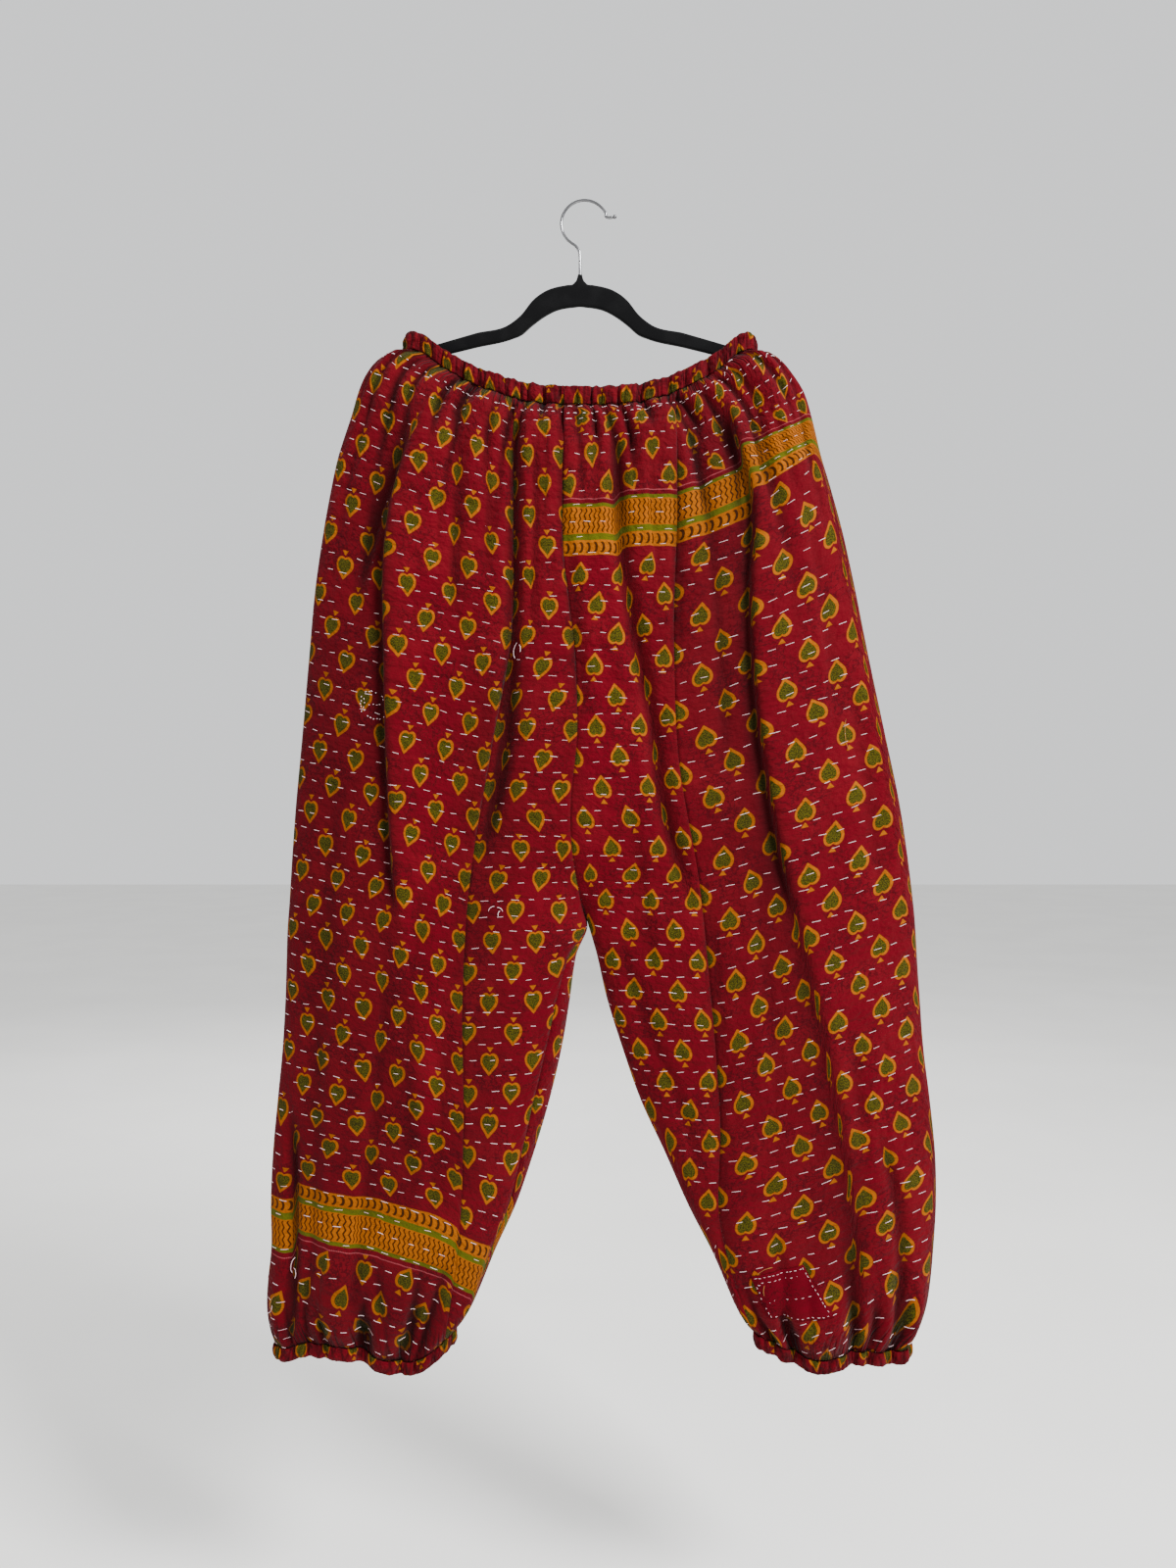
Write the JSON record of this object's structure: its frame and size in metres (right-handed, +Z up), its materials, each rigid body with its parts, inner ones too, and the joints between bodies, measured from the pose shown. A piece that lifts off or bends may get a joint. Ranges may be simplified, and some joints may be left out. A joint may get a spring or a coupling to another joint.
{
  "type": "joggers on a hanger",
  "caption": "Balloon trousers of hand-quilted printed cotton, gathered into an elastic waist and ankles, hanging flat on a slim velvet hanger with a wire hook.",
  "frame": {"origin": "inside top of the hanger's hook, on the wire, where a peg or rail carries it; also the middle of the garment from front to back", "axes": "+Z up, +X to the right of a viewer in front of the garment, -Y out of its front"},
  "size_m": [0.6396, 0.0602, 1.1221],
  "materials": {
    "quilted_cotton": "soft worn cotton, printed, with rows of white running stitch",
    "patch_cotton": "soft plain cotton, darned on",
    "black_velvet": "flocked velvet over moulded plastic",
    "chrome": "bright plated wire"
  },
  "bodies": {
    "root": {"left_inner_front": "quilted_cotton", "left_inner_back": "quilted_cotton", "left_outer_panel": "quilted_cotton", "right_inner_front": "quilted_cotton", "right_inner_back": "quilted_cotton", "right_outer_panel": "quilted_cotton", "waist_casing": "quilted_cotton", "left_ankle_casing": "quilted_cotton", "right_ankle_casing": "quilted_cotton", "ankle_patch": "patch_cotton", "hanger_body": "black_velvet", "hanger_hook": "chrome"}
  },
  "joints": []
}
